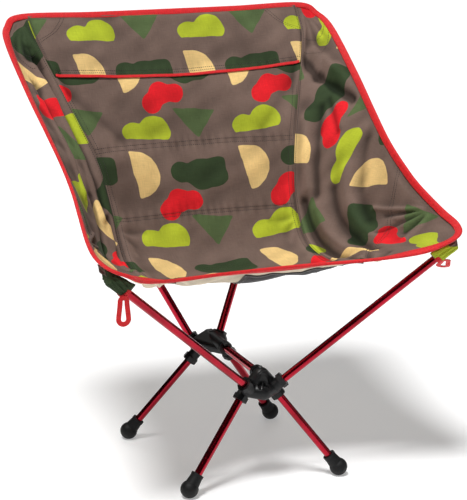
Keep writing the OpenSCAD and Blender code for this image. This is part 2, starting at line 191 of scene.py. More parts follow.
def blurred(height, times):
    for _ in range(times):
        p = np.pad(height, 1, mode="edge")
        height = (p[:-2, 1:-1] + p[2:, 1:-1] + p[1:-1, :-2] + p[1:-1, 2:] + 4 * height) / 8
    return height


# v of the two rows of stitching across the centre panel, and of the yoke's lower edge
STITCH_LINES = [0.317, 0.447]
YOKE_END, YOKE_DROOP = 0.205, 0.012
# The cloth lies flat under the rim tape: its folds start and end at these v
RELIEF_START, RELIEF_END = 0.014, 0.988

# Folds are (start, end, width, height), fans (corner, angles, length, width, height, start), in mm on the flat cloth
CENTRE_FOLDS = [
    ((205, 120), (120, 215), 14, -3.2), ((150, 330), (135, 520), 12, 3.0),
    ((125, 500), (60, 600), 12, -3.2), ((95, 520), (20, 590), 14, 2.4),
]
SIDE_FOLDS = {
    "left": [
        ((2, 105), (30, 150), 8, -9), ((30, 150), (96, 216), 7, -8), ((18, 96), (62, 152), 9, 6),
        ((60, 152), (118, 202), 10, 5), ((52, 196), (74, 262), 6, -4), ((16, 215), (24, 330), 10, 5),
        ((40, 205), (36, 345), 8, -5), ((12, 350), (18, 510), 9, -9), ((36, 370), (42, 530), 11, 6),
        ((66, 350), (66, 520), 11, -6), ((94, 330), (88, 470), 13, 4), ((130, 300), (106, 430), 12, -3.5),
    ],
    "right": [
        ((10, 80), (30, 340), 7, -9), ((26, 100), (54, 360), 8, 7), ((46, 140), (86, 340), 7, -9),
        ((72, 180), (106, 340), 9, 6), ((120, 200), (136, 330), 8, -5), ((14, 60), (16, 330), 6, -5),
        ((60, 330), (100, 520), 8, -6), ((34, 420), (30, 585), 5, -6), ((12, 350), (20, 560), 8, -9),
        ((38, 370), (52, 540), 10, 6), ((70, 390), (84, 520), 9, -5),
    ],
}
SIDE_FANS = [
    ((10, 10), [96, 90, 84, 77, 70, 63, 56, 49], 120, 6, 3.0, 16),
    ((192, 478), [150, 162, 174, 186, 198, 210, 222], 95, 4.5, 3.6, 14),
    ((4, 600), [-90, -78, -66, -54, -42, -30], 95, 4.5, 3.2, 6),
]


def centre_relief(u, v):
    flat = centre_flat(u, v)
    x, y = flat[..., 0], flat[..., 1]
    total = MM * (1.3 * SWELL(flat) + 0.35 * CREASE(flat))
    for line in STITCH_LINES:
        away = y - centre_flat(u, line)[..., 1]
        pucker = 0.5 * np.sin(x / 0.0021 + 3 * np.sin(x / 0.031)) * np.exp(-(away / 0.011) ** 2)
        total += MM * (pucker - 0.5 * np.exp(-(away / 0.0028) ** 2))
    for s in (-1, 1):
        total += fan(flat, (s * 148, 632), [-90 - s * a for a in (2, 12, 22, 33, 45, 58, 72)], 85, 4.5, 2.9, 4)
        total += fan(flat, (s * 150, 375), [90 + s * a for a in (30, 52, 75, 98)], 46, 5, 1.6, 3)
        total += ridges(flat, CENTRE_FOLDS, s)
    seam = fade(curve(SEAM, v)[..., 0] - np.abs(x), 0.012)
    return total * seam * fade(v - RELIEF_START, 0.03) * fade(RELIEF_END - v, 0.025)


def side_relief(side):
    """The sitter's left panel shows broad folds; the right one has long folds beside its seam."""
    def relief(u, v):
        flat = side_flat(u, v)
        total = MM * (1.5 * SWELL(flat + 0.3) + 0.4 * CREASE(flat + 0.3)) + ridges(flat, SIDE_FOLDS[side])
        for row in SIDE_FANS:
            total += fan(flat, *row)
        out = flat[..., 0]
        edge = fade(out, 0.010) * fade(np.interp(v, FINE, SIDE_WIDTH) - out - 0.008, 0.016)
        return total * edge * fade(v - RELIEF_START, 0.03) * fade(RELIEF_END - v, 0.03)
    return relief


# ---- meshes

def add_object(name, data):
    thing = bpy.data.objects.new(name, data)
    bpy.context.scene.collection.objects.link(thing)
    return thing


def set_uvs(mesh, uvs):
    """One (u, v) for each vertex, or for each corner of the faces in order."""
    corner = np.zeros(len(mesh.loops), int)
    mesh.loops.foreach_get("vertex_index", corner)
    per_corner = len(uvs) == len(corner) and len(uvs) != len(mesh.vertices)
    layer = mesh.uv_layers.new(name="cloth")
    layer.data.foreach_set("uv", (uvs if per_corner else uvs[corner]).astype(np.float32).ravel())


def new_mesh(name, vertices, faces, uvs=None, slots=None):
    """A smooth mesh object."""
    mesh = bpy.data.meshes.new(name)
    mesh.from_pydata(np.asarray(vertices).tolist(), [], [list(map(int, f)) for f in faces])
    if uvs is not None:
        set_uvs(mesh, np.asarray(uvs))
    mesh.polygons.foreach_set("use_smooth", [True] * len(mesh.polygons))
    if slots is not None:
        mesh.polygons.foreach_set("material_index", np.asarray(slots, int))
    mesh.update()
    return add_object(name, mesh)


def paint(piece, *materials):
    slots = piece.data.materials
    for i, material in enumerate(materials):
        if i < len(slots):
            slots[i] = material
        else:
            slots.append(material)
    return piece


def settle(piece, slot, *nodes, body="root"):
    """The piece rides on its body and stands for the CAD nodes named, which are hidden; its slot is not used."""
    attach(piece, body)
    if nodes:
        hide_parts(*nodes)
    return piece


# How deep each point lies in a fold: its relief less the blurred relief, over a set depth and clipped. The cloth's
# material paints shade into the folds and light onto their crests by this.
FOLD_SHADING_DEPTH = 2.4 * MM
FOLD_SHADING_BLUR = 60
FOLD_SHADING_RANGE = (-1, 0.35)


class Panel:
    """A cut piece of cloth over (u, v): points, outward normals, flat cut and how deep it lies in a fold, by which the
    cloth's colour gets painted shade in the folds and painted light on their crests.
    """

    def __init__(self, surface, flat, us, vs, relief=None, mirror=1, lift=0.0, fold_shading_depth=FOLD_SHADING_DEPTH):
        self.us, self.vs = np.asarray(us, float), np.asarray(vs, float)
        u, v = np.meshgrid(self.us, self.vs)
        points = surface(u, v)
        self.normals = self.normal_of(points)
        self.fold = np.zeros(u.shape)
        if relief is not None:
            height = relief(u, v)
            points = points + self.normals * height[..., None]
            # Painted shade and light: how deep in a fold each point lies, kept to darken the colour in folds and
            # lighten it on crests.
            self.fold = np.clip((height - blurred(height, FOLD_SHADING_BLUR)) / fold_shading_depth, *FOLD_SHADING_RANGE)
        points = points + self.normals * lift
        self.normals = self.normal_of(points)
        self.flat = flat(u, v)
        self.mirror = mirror
        self.points = points * [mirror, 1, 1]
        self.normals = self.normals * [mirror, 1, 1]

    @staticmethod
    def normal_of(points):
        down, across = np.gradient(points, axis=0), np.gradient(points, axis=1)
        return unit(np.cross(down, across))

    def at(self, u, v, lift=0.0):
        """Points and normals on the cloth at lists of u and v."""
        s = np.interp(u, self.us, np.arange(len(self.us)))
        t = np.interp(v, self.vs, np.arange(len(self.vs)))
        i, j = np.minimum(s.astype(int), len(self.us) - 2), np.minimum(t.astype(int), len(self.vs) - 2)
        f, g = (s - i)[:, None], (t - j)[:, None]

        def pick(a):
            return ((a[j, i] * (1 - f) + a[j, i + 1] * f) * (1 - g)
                    + (a[j + 1, i] * (1 - f) + a[j + 1, i + 1] * f) * g)
        n = unit(pick(self.normals))
        return pick(self.points) + n * lift, n


CLOTH_T, YOKE_T, POUCH_T = 0.9 * MM, 0.8 * MM, 0.6 * MM


def sheet_piece(name, panel, thickness, uv, back_slot=1):
    """A closed thin sheet from a panel: face, reverse and a narrow edge all round."""
    nv, nu = panel.points.shape[:2]
    count = nu * nv
    top = (panel.points + panel.normals * thickness / 2).reshape(-1, 3)
    under = (panel.points - panel.normals * thickness / 2).reshape(-1, 3)
    j, i = np.meshgrid(np.arange(nv - 1), np.arange(nu - 1), indexing="ij")
    a = (j * nu + i).ravel()
    quads = np.stack([a, a + nu, a + nu + 1, a + 1], axis=1)[:, ::panel.mirror]
    rim = np.concatenate([np.arange(nu - 1), np.arange(nv - 1) * nu + nu - 1,
                          (nv - 1) * nu + np.arange(nu - 1, 0, -1), np.arange(nv - 1, 0, -1) * nu])
    nxt = np.roll(rim, -1)
    walls = np.stack([rim, nxt, nxt + count, rim + count], axis=1)[:, ::panel.mirror]
    faces = np.concatenate([quads, quads[:, ::-1] + count, walls])
    slots = np.repeat([0, back_slot, 0], [len(quads), len(quads), len(walls)])
    corner_uv = uv(panel).reshape(-1, 2)
    piece = new_mesh(name, np.vstack([top, under]), faces, np.vstack([corner_uv, corner_uv]), slots)
    # Painted shade and light: the fold depth goes on as a point attribute, turned over on the reverse, and sets how
    # dark or light the cloth's colour is painted.
    fold = np.r_[panel.fold.ravel(), -panel.fold.ravel()].clip(*FOLD_SHADING_RANGE)
    piece.data.attributes.new("fold", "FLOAT", "POINT").data.foreach_set("value", fold.astype(np.float32))
    return piece


def turned(flat, origin, anchor, degrees):
    """Print coordinates of a flat cut: the print's anchor point lies at origin (mm), turned by degrees."""
    d = flat - np.array(origin) * MM
    c, s = math.cos(math.radians(degrees)), math.sin(math.radians(degrees))
    x, down = d[..., 0] * c - d[..., 1] * s, d[..., 0] * s + d[..., 1] * c
    return np.stack([x + anchor[0] * MM, -down + anchor[1] * MM], axis=-1)


def frames_along(path, across, closed):
    """Side and up at each point of a path; side follows the given directions."""
    if closed:
        tangent = np.roll(path, -1, axis=0) - np.roll(path, 1, axis=0)
    else:
        tangent = np.gradient(path, axis=0)
    tangent = unit(tangent)
    side = unit(across - tangent * np.sum(across * tangent, axis=1, keepdims=True))
    return side, np.cross(tangent, side)


def sweep(name, path, across, profile, closed):
    """A profile of (side, up) points carried along a path; its UV is (length along, length round)."""
    side, up = frames_along(path, across, closed)
    profile = np.asarray(profile, float)
    n, m = len(path), len(profile)
    rings = path[:, None] + side[:, None] * profile[None, :, :1] + up[:, None] * profile[None, :, 1:]
    along = arc_length(np.vstack([path, path[:1]]))
    around = arc_length(np.vstack([profile, profile[:1]]))
    faces, uvs = [], []
    for i in range(n if closed else n - 1):
        j = (i + 1) % n
        for k in range(m):
            q = (k + 1) % m
            faces.append((i * m + k, i * m + q, j * m + q, j * m + k))
            uvs += [(along[i], around[k]), (along[i], around[k + 1]),
                    (along[i + 1], around[k + 1]), (along[i + 1], around[k])]
    if not closed:
        faces += [tuple(range(m - 1, -1, -1)), tuple((n - 1) * m + k for k in range(m))]
        uvs += [(0, 0)] * (2 * m)
    return new_mesh(name, rings.reshape(-1, 3), faces, uvs)


def tape_profile(inner, outer, half):
    """Cross-section of a folded tape, in mm: round at its outer fold, thinner towards its sewn inner edge."""
    arc = [(-outer + half * (1 - math.cos(a)), half * math.sin(a)) for a in np.linspace(-math.pi / 2, math.pi / 2, 11)]
    top = [(inner * f, half * h) for f, h in ((0.3, 1.05), (0.55, 0.98), (0.72, 0.78), (0.84, 0.9), (1.0, 0.72))]
    under = [(x, -y) for x, y in reversed(top)]
    return [(x * MM, y * MM) for x, y in (arc + top + under)]


STITCH_LENGTH, STITCH_GAP, STITCH_WIDTH = 2.3 * MM, 1.1 * MM, 0.78 * MM
STITCH_FLAT = 1.25  # how much wider than high a stitch is
STITCH_RINGS = [(-0.5, 0.35), (-0.3, 1.0), (0.3, 1.0), (0.5, 0.35)]  # place along the stitch, share of its width
STITCH_SIDES = 5


def stitches(name, rows):
    """Rows of stitches as small real threads; a row is (points, normals) along the cloth's face."""
    vertices, faces = [], []
    n, reach = STITCH_SIDES, STITCH_LENGTH / 2
    ring = np.linspace(0, 2 * np.pi, n, endpoint=False)
    for points, normals in rows:
        at = arc_length(points)
        for s in np.arange(STITCH_LENGTH, at[-1] - STITCH_LENGTH, STITCH_LENGTH + STITCH_GAP):
            here = np.array([np.interp([s - reach, s + reach], at, points[:, k]) for k in range(3)]).T
            normal = np.array([np.interp(s, at, normals[:, k]) for k in range(3)])
            along = unit(here[1] - here[0])
            side = unit(np.cross(normal, along))
            up = np.cross(along, side)
            base = len(vertices)
            for place, share in STITCH_RINGS:
                centre = here.mean(axis=0) + along * STITCH_LENGTH * place - up * STITCH_WIDTH / 2 * (1 - share)
                for a in ring:
                    out = STITCH_FLAT * side * math.cos(a) + up * math.sin(a)
                    vertices.append(centre + STITCH_WIDTH / 2 * share * out)
            last = base + (len(STITCH_RINGS) - 1) * n
            for row in range(base, last, n):
                faces += [(row + q, row + (q + 1) % n, row + n + (q + 1) % n, row + n + q) for q in range(n)]
            faces += [tuple(range(base + n - 1, base - 1, -1)), tuple(range(last, last + n))]
    return new_mesh(name, vertices, faces)


# ---- materials

def rgb(red, green, blue):
    """A colour given as it looks on a screen, 0 to 255, turned into linear values."""
    def linear(c):
        c /= 255
        return c / 12.92 if c <= 0.04045 else ((c + 0.055) / 1.055) ** 2.4
    return (linear(red), linear(green), linear(blue), 1.0)


class Wire:
    """A value inside a material; arithmetic on it adds Math nodes."""

    def __init__(self, tree, socket):
        self.tree, self.socket = tree, socket

    def through(self, kind, operation, others, out=0):
        node = self.tree.nodes.new(kind)
        node.operation = operation
        for i, value in enumerate((self, *others)):
            plug(self.tree, node.inputs[i], value)
        return Wire(self.tree, node.outputs[out])

    def math(self, operation, *others):
        return self.through("ShaderNodeMath", operation, others)

    def vector(self, operation, *others, out=0):
        return self.through("ShaderNodeVectorMath", operation, others, out)

    def __add__(self, other):
        return self.math("ADD", other)

    def __sub__(self, other):
        return self.math("SUBTRACT", other)

    def __mul__(self, other):
        return self.math("MULTIPLY", other)

    def clamped(self):
        return self.math("MAXIMUM", 0.0).math("MINIMUM", 1.0)


def plug(tree, socket, value):
    if isinstance(value, Wire):
        tree.links.new(value.socket, socket)
    else:
        socket.default_value = value


def start_material(name, **settings):
    """A new material, its node tree and its shader, with plain settings given as Socket_Name=value."""
    material = bpy.data.materials.new(name)
    material.use_nodes = True
    shader = material.node_tree.nodes["Principled BSDF"]
    for key, value in settings.items():
        shader.inputs[key.replace("_", " ")].default_value = value
    return material, material.node_tree, shader


def cloth_place(tree):
    """Where a point lies on the flat cloth, in metres."""
    node = tree.nodes.new("ShaderNodeUVMap")
    node.uv_map = "cloth"
    return Wire(tree, node.outputs[0])


def solid_place(tree):
    """Where a point lies in the solid, in metres."""
    return Wire(tree, tree.nodes.new("ShaderNodeTexCoord").outputs["Object"])


def noise(tree, place, scale, detail=3.0, roughness=0.5, out="Fac"):
    node = tree.nodes.new("ShaderNodeTexNoise")
    plug(tree, node.inputs["Vector"], place)
    node.inputs["Scale"].default_value = scale
    node.inputs["Detail"].default_value = detail
    node.inputs["Roughness"].default_value = roughness
    return Wire(tree, node.outputs[out])


def mix(tree, factor, first, second, how="MIX"):
    node = tree.nodes.new("ShaderNodeMix")
    node.data_type = "RGBA"
    node.blend_type = how
    plug(tree, node.inputs[0], factor)
    plug(tree, node.inputs[6], first)
    plug(tree, node.inputs[7], second)
    return Wire(tree, node.outputs[2])


def span(tree, value, low, high, to_low, to_high):
    """A value carried over from the range low to high to the range to_low to to_high."""
    node = tree.nodes.new("ShaderNodeMapRange")
    plug(tree, node.inputs[0], value)
    for i, v in enumerate((low, high, to_low, to_high), start=1):
        node.inputs[i].default_value = v
    return Wire(tree, node.outputs[0])


def shade(colour, share):
    return tuple(c * share for c in colour[:3]) + (1.0,)


def tinted(tree, colour, brightness):
    """A colour made lighter or darker by one value."""
    grey = tree.nodes.new("ShaderNodeCombineColor")
    for i in range(3):
        plug(tree, grey.inputs[i], brightness)
    return mix(tree, 1.0, colour, Wire(tree, grey.outputs[0]), "MULTIPLY")


def split(tree, place):
    parts = tree.nodes.new("ShaderNodeSeparateXYZ")
    plug(tree, parts.inputs[0], place)
    return [Wire(tree, part) for part in parts.outputs]


def bump(tree, shader, height):
    """Relief of a height in metres."""
    node = tree.nodes.new("ShaderNodeBump")
    node.inputs["Strength"].default_value = 1.0
    node.inputs["Distance"].default_value = 1.0
    plug(tree, node.inputs["Height"], height)
    tree.links.new(node.outputs[0], shader.inputs["Normal"])


def weave_height(tree, place, pitch):
    """A plain weave: threads over and under each other, one pitch apart."""
    x, y = (part * (math.pi / pitch) for part in split(tree, place)[:2])
    warp = x.math("SINE").math("ABSOLUTE") * ((x + y).math("SINE") * 0.3 + 0.7)
    weft = y.math("SINE").math("ABSOLUTE")
    return warp.math("MAXIMUM", weft * 0.9)


def grain_lines(tree, place, pitch):
    """Fine uneven lines across and down the cloth, as its yarns vary in colour."""
    across = noise(tree, place.vector("MULTIPLY", (1.0, 0.06, 1.0)), 1 / pitch, 1.0)
    down = noise(tree, place.vector("MULTIPLY", (0.06, 1.0, 1.0)), 1 / pitch, 1.0)
    return (across + down) * 0.5


# The print: five plain shapes of our own, in millimetres from the middle of each one's place in the tile
TILE = (184, 175)
PRINT_SHAPES = {
    "hills": dict(colour=(172, 184, 48), at=(-37, -55), blend=11, cut_blend=3,
                  discs=[(-21, -3, 19), (15, 2, 25)], cuts=[(0, -1, 13)]),
    "wedge": dict(colour=(82, 98, 62), at=(48, -41), blend=1, cut_blend=7, discs=[(0, 0, 46)],
                  cuts=[(0.1, 1, 21), (-0.82, -0.57, 16), (0.80, -0.60, 17)]),
    "half_moon": dict(colour=(226, 192, 128), at=(-50, -126), blend=1, cut_blend=5,
                      discs=[(-17, 0, 38)], cuts=[(-0.98, -0.16, 20), (0.1, 1, 35)]),
    "pebble": dict(colour=(52, 66, 42), at=(40, -126), blend=15, cut_blend=5,
                   discs=[(-33, 3, 17), (0, -2, 25), (27, 1, 24)], cuts=[(1, 0.1, 44), (0, 1, 24)]),
    "cloud": dict(colour=(216, 32, 40), at=(0, 0), blend=13, cut_blend=1,
                  discs=[(-20, -8, 16), (21, 7, 15), (-3, 8, 18)], cuts=[]),
}
TAUPE = rgb(112, 93, 84)


def print_shape(tree, place, shape):
    """How far inside one printed shape a point is, in metres."""
    tile = np.array(TILE) * MM / 2
    local = place.vector("SUBTRACT", (shape["at"][0] * MM, shape["at"][1] * MM, 0))
    local = local.vector("WRAP", (tile[0], tile[1], 1), (-tile[0], -tile[1], -1))
    inside = None
    for x, y, r in shape["discs"]:
        away = local.vector("DISTANCE", (x * MM, y * MM, 0), out=1)
        depth = away * -1 + r * MM
        inside = depth if inside is None else inside.math("SMOOTH_MAX", depth, shape["blend"] * MM)
    for nx, ny, offset in shape["cuts"]:
        depth = local.vector("DOT_PRODUCT", (nx, ny, 0), out=1) * -1 + offset * MM
        inside = inside.math("SMOOTH_MIN", depth, shape["cut_blend"] * MM)
    return inside


PAINTED_FOLD_SHADING = 0.62  # painted shade and light: how much darker the colour is painted at the bottom of a fold, and lighter on its crest


def cloth_finish(tree, shader, place, colour, pitch=0.45 * MM, depth=0.08 * MM):
    """Yarn colour variation, painted shade in the folds and painted light on their crests, a plain weave and a little
    crease, on top of a colour.
    """
    tone = span(tree, grain_lines(tree, place, 0.9 * MM), 0.3, 0.7, 0.86, 1.12)
    soft = span(tree, noise(tree, place, 28.0, 3.0), 0.3, 0.7, 0.93, 1.06)
    # Painted shade and light: the colour darkens with how deep in a fold a point lies and lightens on crests.
    fold = tree.nodes.new("ShaderNodeAttribute")
    fold.attribute_name = "fold"
    brightness = tone * soft * (Wire(tree, fold.outputs["Fac"]) * PAINTED_FOLD_SHADING + 1.0)
    plug(tree, shader.inputs["Base Color"], tinted(tree, colour, brightness))
    plug(tree, shader.inputs["Roughness"], span(tree, soft, 0.93, 1.06, 0.72, 0.84))
    crease = noise(tree, place, 60.0, 4.0, 0.6)
    bump(tree, shader, weave_height(tree, place, pitch) * depth + crease * (0.5 * MM))


def printed_cloth():
    material, tree, shader = start_material(
        "printed_cloth", Sheen_Weight=0.04, Sheen_Roughness=0.45, Specular_IOR_Level=0.12)
    place = cloth_place(tree)
    # The shapes' outlines waver a little
    drift = noise(tree, place, 45.0, 1.0, out="Color").vector("SUBTRACT", (0.5, 0.5, 0.5))
    drawn = place.vector("ADD", drift.vector("MULTIPLY", (5 * MM, 5 * MM, 0)))
    colour = TAUPE
    for shape in PRINT_SHAPES.values():
        mask = (print_shape(tree, drawn, shape) * 2200 + 0.5).clamped()
        colour = mix(tree, mask, colour, rgb(*shape["colour"]))
    cloth_finish(tree, shader, place, colour)
    return material


def plain_cloth(name, colour, pitch=0.45 * MM, depth=0.08 * MM):
    material, tree, shader = start_material(name, Sheen_Weight=0.2, Specular_IOR_Level=0.25)
    cloth_finish(tree, shader, cloth_place(tree), colour, pitch, depth)
    return material


def solid_cloth(name, colour, pitch=0.8 * MM):
    """Heavy cloth on a piece without a flat cut: the weave follows the solid."""
    material, tree, shader = start_material(name, Sheen_Weight=0.2, Specular_IOR_Level=0.25, Roughness=0.8)
    place = solid_place(tree)
    fleck = span(tree, noise(tree, place, 700.0, 2.0), 0.3, 0.7, 0.8, 1.2)
    plug(tree, shader.inputs["Base Color"], tinted(tree, colour, fleck))
    bump(tree, shader, weave_height(tree, place, pitch) * (0.12 * MM) + noise(tree, place, 90.0, 4.0) * (0.8 * MM))
    return material


def ribbed_tape(name, colour, rib=1.1 * MM, sheen=0.35):
    """Grosgrain: fine ribs square to the tape's length, with a tight edge, painted shade in the valleys between the
    ribs and painted light on their tops.
    """
    material, tree, shader = start_material(
        name, Sheen_Weight=sheen, Sheen_Roughness=0.35, Specular_IOR_Level=0.35)
    place = cloth_place(tree)
    along, around, _ = split(tree, place)
    ribs = (along * (2 * math.pi / rib)).math("SINE") * 0.5 + 0.5
    # Painted shade and light: the colour is darker in the valleys between the ribs and lighter on their tops.
    tone = span(tree, noise(tree, place, 220.0, 3.0), 0.3, 0.7, 0.86, 1.1) * (ribs * 0.16 + 0.9)
    plug(tree, shader.inputs["Base Color"], tinted(tree, colour, tone))
    plug(tree, shader.inputs["Roughness"], span(tree, ribs, 0, 1, 0.62, 0.5))
    threads = (around * (2 * math.pi / (0.6 * MM))).math("SINE") * 0.25
    bump(tree, shader, (ribs + threads) * (0.14 * MM))
    return material


def anodised(name, colour, dark):
    """Anodised tube: dyed metal with a slightly uneven dye, drawing lines and fine scuffs."""
    material, tree, shader = start_material(
        name, Metallic=1.0, Coat_Weight=0.35, Coat_Roughness=0.12, Specular_IOR_Level=0.5)
    place = solid_place(tree)
    cloud = noise(tree, place, 22.0, 3.0)
    plug(tree, shader.inputs["Base Color"], mix(tree, span(tree, cloud, 0.3, 0.7, 0, 1), dark, colour))
    scuff = noise(tree, place.vector("MULTIPLY", (1.0, 1.0, 0.25)), 420.0, 4.0, 0.7)
    plug(tree, shader.inputs["Roughness"], span(tree, scuff, 0.35, 0.75, 0.17, 0.33))
    bump(tree, shader, scuff * (0.03 * MM))
    return material


def moulded(name, colour, roughness=0.42, grain=900.0, depth=0.05 * MM):
    """Moulded nylon or rubber: a fine spark-eroded grain and faint handling marks."""
    material, tree, shader = start_material(name, Specular_IOR_Level=0.32)
    place = solid_place(tree)
    mark = noise(tree, place, 45.0, 4.0, 0.6)
    lighter = tuple(min(1.0, c * 1.5 + 0.001) for c in colour[:3]) + (1.0,)
    plug(tree, shader.inputs["Base Color"], mix(tree, span(tree, mark, 0.4, 0.75, 0, 0.6), colour, lighter))
    plug(tree, shader.inputs["Roughness"], span(tree, mark, 0.3, 0.7, roughness - 0.07, roughness + 0.1))
    bump(tree, shader, noise(tree, place, grain, 3.0) * depth)
    return material


def braided(name, colour):
    """Elastic cord: a braided cover of crossing yarns, with painted shade where the braid lies low between them."""
    material, tree, shader = start_material(name, Roughness=0.7, Sheen_Weight=0.2)
    yarn = weave_height(tree, solid_place(tree), 0.9 * MM)
    # Painted shade: the colour is darker where the braid lies low, between the yarns.
    plug(tree, shader.inputs["Base Color"], mix(tree, yarn, shade(colour, 0.6), colour))
    bump(tree, shader, yarn * (0.15 * MM))
    return material


def brushed(name, colour, roughness):
    """Bare metal with fine drawing lines."""
    material, tree, shader = start_material(name, Metallic=1.0)
    lines = noise(tree, solid_place(tree).vector("MULTIPLY", (1.0, 0.1, 1.0)), 1500.0, 2.0)
    plug(tree, shader.inputs["Base Color"], mix(tree, lines, shade(colour, 0.75), colour))
    plug(tree, shader.inputs["Roughness"], span(tree, lines, 0.3, 0.7, roughness - 0.05, roughness + 0.1))
    bump(tree, shader, lines * (0.02 * MM))
    return material


PRINT = printed_cloth()
REVERSE = plain_cloth("cloth_reverse", rgb(206, 192, 168))
DARK_CLOTH = solid_cloth("pocket_cloth", rgb(74, 62, 55))
BLACK_CLOTH = plain_cloth("pouch_cloth", rgb(26, 26, 28), 0.9 * MM, 0.12 * MM)
RED_TAPE = ribbed_tape("red_tape", rgb(222, 28, 34), sheen=0.1)
RED_WEBBING = ribbed_tape("red_webbing", rgb(218, 28, 34), 1.6 * MM, 0.1)
SEAM_TAPE = ribbed_tape("seam_tape", rgb(46, 42, 40))
THREAD_DARK = plain_cloth("thread_dark", rgb(42, 34, 30), 0.3 * MM, 0.05 * MM)
THREAD_RED = plain_cloth("thread_red", rgb(190, 28, 30), 0.3 * MM, 0.05 * MM)
FINISHES = {
    "red_alloy": anodised("anodised_red", rgb(186, 10, 44), rgb(140, 5, 28)),
    "bare_alloy": brushed("drawn_alloy", rgb(190, 190, 195), 0.32),
    "pin_steel": brushed("pin_steel", rgb(120, 120, 122), 0.35),
    "hub_nylon": moulded("hub_nylon", rgb(11, 11, 12)),
    "tip_nylon": moulded("tip_nylon", rgb(11, 11, 12), 0.5),
    "foot_rubber": moulded("foot_rubber", rgb(12, 12, 13), 0.6, 500.0, 0.12 * MM),
    "shock_cord": braided("shock_cord", rgb(215, 213, 205)),
}


def dress_frame():
    """Gives each CAD node that stays visible its own material."""
    for entry in frame["record"]["subparts"]:
        finish = FINISHES.get(entry["material_slot"])
        if finish is not None:
            node = frame["nodes"][entry["node"]]
            paint(node, finish)
            node.data.polygons.foreach_set("use_smooth", [True] * len(node.data.polygons))


# ---- the sling

def centre_uv(panel):
    return turned(panel.flat, (-35, 150), (0, 0), 0)


def yoke_uv(panel):
    return turned(panel.flat, (52, 38), (-37, -55), 0)


def side_uv(side):
    """The side panels are cut at an angle to the print."""
    origin, degrees = ((68, 247), 55) if side == "left" else ((58, 190), -52)
    return lambda panel: turned(panel.flat, origin, (0, 0), degrees)


SEAT_PANELS = {}


def finish_sheet(piece, slot, node, flat, area=None, rests_on="rim_tape", trims=()):
    settle(piece, slot, node)


def make_seat_cloth(key, name, panel, uv, node, flat, area, thickness=CLOTH_T, **rest):
    SEAT_PANELS[key] = panel
    piece = paint(sheet_piece(name, panel, thickness, uv), PRINT, REVERSE)
    finish_sheet(piece, "printed_fabric", node, flat, area, **rest)


def make_centre_panel():
    panel = Panel(centre_surface, centre_flat, np.linspace(-1, 1, 161), np.linspace(0, 1, 231), centre_relief)
    make_seat_cloth("centre", "seat_centre", panel, centre_uv, "centre_panel", (0.456, 0.643), 0.216)


def make_side_panel(side):
    # The sitter's right panel gets stronger painted shade in its folds than the left one.
    panel = Panel(side_surface, side_flat, np.linspace(0, 1, 81), np.linspace(0, 1, 231),
                  side_relief(side), SIDES[side], fold_shading_depth=FOLD_SHADING_DEPTH * (1.0 if side == "left" else 0.6))
    make_seat_cloth(side, f"seat_side_{side}", panel, side_uv(side), f"side_panel_{side}", (0.233, 0.602), 0.089)


def yoke_v(u, w):
    return w * (YOKE_END + YOKE_DROOP * (1 - u**2))


def make_yoke():
    def surface(u, w):
        return centre_surface(u, yoke_v(u, w))

    def flat(u, w):
        return centre_flat(u, yoke_v(u, w))

    def relief(u, w):
        place = flat(u, w)
        below = centre_relief(u, yoke_v(u, w))
        puckers = 0.4 * MM * np.sin(place[..., 0] / 0.0024 + 2 * np.sin(place[..., 0] / 0.03))
        loose = 0.5 * MM * np.abs(SWELL(place + 0.7)) * fade(w, 0.3) - 0.7 * MM * (1 - fade(w - 0.05, 0.25))
        return below + puckers * np.exp(-((w - 0.965) / 0.03) ** 2) + loose
    panel = Panel(surface, flat, np.linspace(-0.995, 0.995, 131), np.linspace(0.01, 1, 45), relief, lift=1.6 * MM)
    make_seat_cloth("yoke", "seat_yoke", panel, yoke_uv, "back_yoke", (0.456, 0.117), 0.05, YOKE_T,
                    rests_on="seat_centre", trims=["yoke_tape"])


def make_yoke_tape():
    panel = SEAT_PANELS["yoke"]
    u = np.linspace(-0.99, 0.99, 140)
    path, _ = panel.at(u, np.full_like(u, 1.0))
    inside, _ = panel.at(u, np.full_like(u, 0.95))
    piece = sweep("yoke_tape", path, inside - path, tape_profile(4.2, 0.6, 0.85), False)
    settle(paint(piece, RED_TAPE), "red_binding", "yoke_binding")


def evenly(closed, count):
    """Points evenly spaced along a closed line."""
    at = arc_length(closed)
    even = np.linspace(0, at[-1], count, endpoint=False)
    return np.stack([np.interp(even, at, column) for column in closed.T], axis=1)


def rim_path(count=560):
    half = np.vstack([EDGE_TOP, EDGE_SIDE, EDGE_FRONT])
    ring = np.vstack([half, half[-2:0:-1] * [-1, 1, 1]])
    path = closed_curve(ring, count * 3)
    return evenly(np.vstack([path, path[:1]]), count)


def smooth_ring(values, times):
    for _ in range(times):
        values = (np.roll(values, 1, axis=0) + 2 * values + np.roll(values, -1, axis=0)) / 4
    return values


NEAR_CLOTH, FAR_CLOTH = 9 * MM, 17 * MM


def into_cloth(path):
    """At each rim point, the way into the cloth: towards the cloth between near and far."""
    cloth = np.vstack([SEAT_PANELS[k].points[::2, ::2].reshape(-1, 3) for k in ("centre", "left", "right")])
    way = np.zeros_like(path)
    for i, p in enumerate(path):
        d = cloth - p
        r = np.linalg.norm(d, axis=1)
        near = (r > NEAR_CLOTH) & (r < FAR_CLOTH)
        way[i] = (d[near] / r[near, None]).mean(axis=0)
    return smooth_ring(way, 6)


def thread_piece(name, rows, material=THREAD_DARK, slot="printed_fabric"):
    settle(paint(stitches(name, rows), material), slot)


